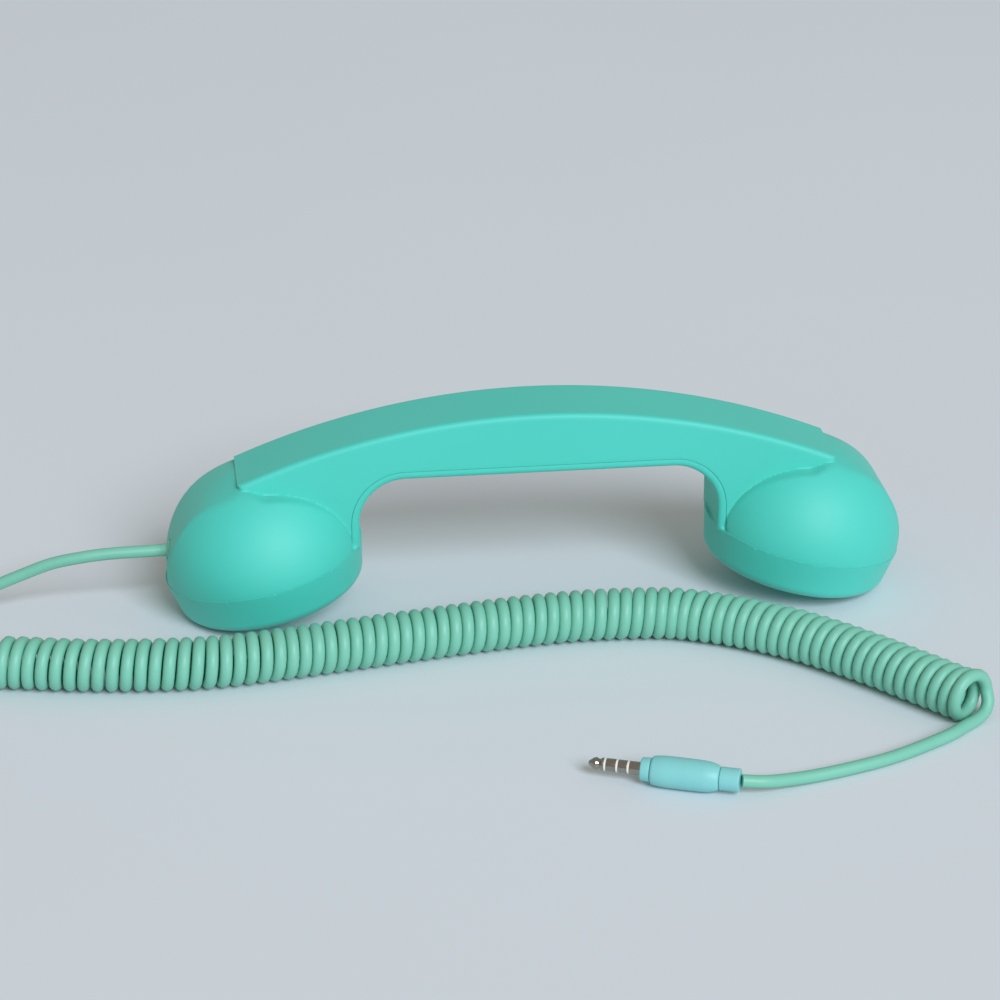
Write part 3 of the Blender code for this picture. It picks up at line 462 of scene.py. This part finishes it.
def shell_mesh(name, field, low, high):
    """The surface where a field is zero, one point to each grid cell that it crosses, drawn in mm."""
    axes = [np.arange(a, b + GRID, GRID) for a, b in zip(low, high)]
    values = np.stack([field(*np.meshgrid([a], axes[1], axes[2], indexing='ij'))[0][0] for a in axes[0]])
    inside = values < 0
    offsets = np.array([(i, j, k) for i in (0, 1) for j in (0, 1) for k in (0, 1)])
    corners = np.stack([np.roll(inside, tuple(-o), (0, 1, 2)) for o in offsets])
    mixed = (corners.any(0) & ~corners.all(0))[:-1, :-1, :-1]
    cells = np.argwhere(mixed)
    number = np.full(mixed.shape, -1)
    number[mixed] = np.arange(len(cells))
    at = [values[tuple((cells + o).T)] for o in offsets]
    total, hits = np.zeros((len(cells), 3)), np.zeros(len(cells))
    for a, b in ((0, 1), (2, 3), (4, 5), (6, 7), (0, 2), (1, 3), (4, 6), (5, 7),
                 (0, 4), (1, 5), (2, 6), (3, 7)):
        crossed = (at[a] < 0) != (at[b] < 0)
        part = np.where(crossed, at[a] / np.where(crossed, at[a] - at[b], 1), 0)
        total += crossed[:, None] * (offsets[a] + part[:, None] * (offsets[b] - offsets[a]))
        hits += crossed
    points = np.array(low) + GRID * (cells + total / hits[:, None])
    # One face across each grid line that the surface crosses.
    quads = []
    for axis in range(3):
        ahead = np.take(inside, range(1, inside.shape[axis]), axis)
        behind = np.take(inside, range(inside.shape[axis] - 1), axis)
        one, two = [k for k in range(3) if k != axis]
        for leaving, order in ((behind & ~ahead, 1), (ahead & ~behind, -1)):
            edge = np.argwhere(leaving)
            steps = np.zeros((4, 3), int)
            steps[1, one] = steps[2, one] = steps[2, two] = steps[3, two] = 1
            around = [number[tuple((edge - s).T)] for s in steps]
            turn = order * (1 if axis != 1 else -1)
            quads.append(np.stack(around[::turn], axis=1))
    quads = np.concatenate(quads)
    # Points are evened out and pushed back on to the surface, and then those beside a sharp edge on to it.
    links = np.concatenate([quads[:, [a, (a + 1) % 4]] for a in range(4)])
    for relax in (True, True, False):
        if relax:
            mean = np.stack([np.bincount(links.ravel(), points[links[:, ::-1].ravel(), k], len(points))
                             for k in range(3)], axis=1)
            mean /= np.bincount(links.ravel(), minlength=len(points))[:, None]
            points = 0.5 * (points + mean)
        for _ in range(2):
            here, slope = sloped(lambda *at: field(*at)[0], points)
            push = here / np.maximum((slope ** 2).sum(1), 0.2)
            points = points - np.clip(push, -0.4, 0.4)[:, None] * slope
    for pair in range(len(field(*points[:1].T)[1])):
        near = np.hypot(*field(*points.T)[1][pair]) < CAPTURE
        moved = points[near]
        for _ in range(4):
            a, slope_a = sloped(lambda *at: field(*at)[1][pair][0], moved)
            b, slope_b = sloped(lambda *at: field(*at)[1][pair][1], moved)
            aa, bb, ab = (slope_a ** 2).sum(1), (slope_b ** 2).sum(1), (slope_a * slope_b).sum(1)
            spread = np.maximum(aa * bb - ab ** 2, 0.02)
            moved = moved - (((a * bb - b * ab) / spread)[:, None] * slope_a
                             + ((b * aa - a * ab) / spread)[:, None] * slope_b)
        good = (np.linalg.norm(moved - points[near], axis=1) < GRID) & (np.abs(field(*moved.T)[0]) < 0.4)
        points[near] = np.where(good[:, None], moved, points[near])
    mesh = bpy.data.meshes.new(name)
    mesh.vertices.add(len(points))
    mesh.vertices.foreach_set("co", (points * MM).astype(np.float32).ravel())
    mesh.loops.add(quads.size)
    mesh.loops.foreach_set("vertex_index", quads.ravel().astype(np.int32))
    mesh.polygons.add(len(quads))
    mesh.polygons.foreach_set("loop_start", np.arange(0, quads.size, 4, dtype=np.int32))
    mesh.update(calc_edges=True)
    mesh.validate()
    mesh.shade_smooth()
    mesh.set_sharp_from_angle(angle=radians(42))
    ob = bpy.data.objects.new(name, mesh)
    bpy.context.scene.collection.objects.link(ob)
    return ob


# Soft-touch lacquer on ABS: matt and velvety, one even mint green with a very fine orange-peel grain.
soft_touch = speckled("soft_touch_abs", "#46CEBF", "#40C8B8", 45 * MM, 0.45 * MM, 0.012 * MM, 0.6,
                      **{"Specular IOR Level": 0.7, "Sheen Weight": 0.1, "Sheen Roughness": 0.5})
for name, field, low, high in (("outer_shell", outer_shell_field, 5, 61.6),
                               ("inner_shell", inner_shell_field, -1, 51.5)):
    shell = shell_mesh("moulded_" + name, field, (-109.5, -30.5, low), (109.5, 30.5, high))
    shell.data.materials.append(soft_touch)
    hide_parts(name)
    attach(shell, "handset")

# ---- Cord bushing ----
# A soft PVC sleeve in the cord's colour, snapped into the mouthpiece cup's wall. Its short tapered neck keeps
# the cord from kinking where it leaves.
BUSHING = [(0, 101.2), (3.7, 101.2), (3.7, 102.7), (2.85, 102.9), (2.85, 106.2), (1.85, 106.7), (1.85, 108.4),
           (0, 108.4)]
bushing_place = Matrix.Translation((-CUP_X * MM, 0, CORD_HOLE_Z * MM)) @ Matrix.Rotation(-pi / 2, 4, 'Y')
bushing = lathed("cord_bushing", [(radius, out - CUP_X) for radius, out in BUSHING], pvc_jacket,
                 bushing_place, 0.3)
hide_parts("cord_grommet")
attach(bushing, "handset")

# ---- Caps ----
# Two round discs of ABS, moulded in the shells' colour but left bare, so they are a little glossier. They
# snap into the skirts' seats. The earpiece's has nineteen sound holes in rings, and the mouthpiece's seven.
CAP_RADIUS, CAP_THICK, CAP_ROUND = 21.5, 2.3, 0.5
bare_abs = speckled("moulded_abs", "#3CCBBC", "#37C5B5", 30 * MM, 0.6 * MM, 0.008 * MM, 0.4)


def cup_place(side):
    return Matrix.Translation((side * CUP_X * MM, 0, RIM_Z * MM)) @ Matrix.Rotation(side * CUP_TILT, 4, 'Y')


for name, side, hole, rings in (("ear_cap", 1, 1.1, ((1, 0), (6, 5.2), (12, 10.4))),
                                ("mouth_cap", -1, 0.9, ((1, 0), (6, 4.6)))):
    disc = bpy.data.curves.new("perforated_" + name, 'CURVE')
    disc.dimensions, disc.fill_mode = '2D', 'BOTH'
    disc.extrude, disc.bevel_depth = (CAP_THICK / 2 - CAP_ROUND) * MM, CAP_ROUND * MM
    disc.bevel_resolution = 3
    circles = [(CAP_RADIUS - CAP_ROUND, 0, 0, 96)]
    circles += [(hole + CAP_ROUND * 0.7, away * cos(2 * pi * k / count), away * sin(2 * pi * k / count), 24)
                for count, away in rings for k in range(count)]
    for radius, x, y, steps in circles:
        spline = disc.splines.new('POLY')
        spline.points.add(steps - 1)
        for k, point in enumerate(spline.points):
            turn = 2 * pi * k / steps
            point.co = ((x + radius * cos(turn)) * MM, (y + radius * sin(turn)) * MM, 0, 1)
        spline.use_cyclic_u = True
    disc.materials.append(bare_abs)
    cap = bpy.data.objects.new("perforated_" + name, disc)
    bpy.context.scene.collection.objects.link(cap)
    cap.matrix_world = cup_place(side) @ Matrix.Translation((0, 0, (-FACE_DEPTH - 0.05 + CAP_THICK / 2) * MM))
    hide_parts(name)
    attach(cap, "handset")

# ---- Call button ----
# A pill of the same bare ABS, 14 mm long, that stands 0.4 mm proud of the grip's underside. A flange inside
# the shell keeps it in, and it pushes the switch's plunger up.
BUTTON_HALF, BUTTON_WIDE, BUTTON_LOW = 7.0, 3.5, GRIP_Z - 0.4
BUTTON_LEVELS = [
    (2.6, BUTTON_LOW), (1.2, BUTTON_LOW + 0.05), (0.45, BUTTON_LOW + 0.2), (0.1, BUTTON_LOW + 0.5),
    (0, BUTTON_LOW + 0.9), (0, GRIP_Z + 2.3), (-1.0, GRIP_Z + 2.3), (-1.0, GRIP_Z + 3.3), (0, GRIP_Z + 3.3)]
body = bmesh.new()
levels = []
for inset, height in BUTTON_LEVELS:
    ring = []
    for end in (1, -1):
        for k in range(17):
            turn = radians(-90 + 11.25 * k) + (0 if end > 0 else pi)
            reach = BUTTON_WIDE - inset
            ring.append(body.verts.new((
                end * (BUTTON_HALF - BUTTON_WIDE) + reach * cos(turn), reach * sin(turn), height)))
    levels.append(ring)
for low, high in zip(levels, levels[1:]):
    for k in range(len(low)):
        body.faces.new([low[k - 1], low[k], high[k], high[k - 1]])
body.faces.new(levels[0])
body.faces.new(levels[-1])
button = finished("call_button", body, bare_abs, sharp=50)
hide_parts("button_cap")
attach(button, "button")

# ---- Works inside ----
# The capsules, the switch on its board, the steel weight, the screws and the wires, as the frame gives them.
# They sit inside the closed shells, and each takes the finish of the real thing.


def threaded(name, light, dark, pitch, turned_about, roughness, metallic=0.0, bump=0.1):
    """A finish in fine parallel lines: wound wire, woven felt or machined metal."""
    made = new_material(name)
    place = add_node(made, "TexCoord").outputs["Object"]
    lines = add_node(made, "TexWave", {"Vector": place, "Scale": 0.314 / pitch, "Distortion": 1.5},
                     bands_direction=turned_about)
    tint = add_node(made, "Mix", {
        0: lines.outputs["Fac"], 6: linear(dark), 7: linear(light)}, data_type="RGBA")
    relief = add_node(made, "Bump", {"Height": lines.outputs["Fac"], "Strength": 1.0, "Distance": bump * MM})
    return surface(made, {
        "Base Color": tint.outputs[2], "Roughness": roughness, "Metallic": metallic,
        "Normal": relief.outputs["Normal"]})


def drilled_board(name):
    """Glass-epoxy board under green lacquer: copper tracks show through as paler bands."""
    made = new_material(name)
    place = add_node(made, "TexCoord").outputs["Object"]
    tracks = add_node(made, "TexBrick", {
        "Vector": place, "Scale": 1 / (6 * MM), "Color1": linear("#1F7A3C"), "Color2": linear("#1A6B34"),
        "Mortar": linear("#2F9A55"), "Mortar Size": 0.06})
    relief = add_node(made, "Bump", {"Height": tracks.outputs["Fac"], "Strength": 1.0, "Distance": 0.03 * MM})
    return surface(made, {
        "Base Color": tracks.outputs["Color"], "Roughness": 0.3, "Normal": relief.outputs["Normal"]})


wool_felt = threaded("black_wool_felt", "#2B2B2E", "#151517", 0.5 * MM, 'DIAGONAL', 0.95)
copper_winding = threaded("enamelled_copper_winding", "#C77B45", "#7F4522", 0.12 * MM, 'Z', 0.3, 1.0, 0.03)
zinc_steel = speckled("zinc_plated_steel", "#C9CCD1", "#AEB2B8", 3 * MM, 0.3 * MM, 0.005 * MM, 0.32,
                      Metallic=1.0)
plated_magnet = speckled("nickel_plated_magnet", "#A9ABAF", "#8E9094", 4 * MM, 0.3 * MM, 0.006 * MM, 0.3,
                         Metallic=1.0)
black_polyamide = speckled("black_polyamide", "#26272A", "#1C1D20", 5 * MM, 0.4 * MM, 0.01 * MM, 0.5)
black_rubber = speckled("black_rubber", "#222222", "#191919", 4 * MM, 0.3 * MM, 0.02 * MM, 0.8)
cone_paper = speckled("pressed_cone_paper", "#8B7B63", "#6F6250", 1.5 * MM, 0.25 * MM, 0.04 * MM, 0.9)
red_wire = speckled("red_pvc_wire", "#B5332C", "#A02922", 3 * MM, 0.4 * MM, 0.008 * MM, 0.4)
lacquered_board = drilled_board("lacquered_board")
CARRIED = {
    "circuit_board": lacquered_board, "switch_body": black_polyamide, "switch_plunger": black_rubber,
    "grip_weight": zinc_steel, "ear_dust_screen": wool_felt, "mouth_dust_screen": wool_felt,
    "receiver_frame": black_polyamide, "receiver_magnet": plated_magnet, "receiver_gasket": black_rubber,
    "receiver_cone": cone_paper, "voice_coil": copper_winding, "receiver_wire": red_wire,
    "mic_wire": red_wire, "cord_core": red_wire, "mic_boot": black_rubber, "mic_capsule": plated_magnet,
    **{f"{kind}_screw_{k}": zinc_steel for kind, count in (("shell", 4), ("board", 2), ("weight", 2))
       for k in range(1, count + 1)},
}
for name, material in CARRIED.items():
    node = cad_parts[name]
    for slot in node.material_slots:
        slot.link = 'OBJECT'
        slot.material = material
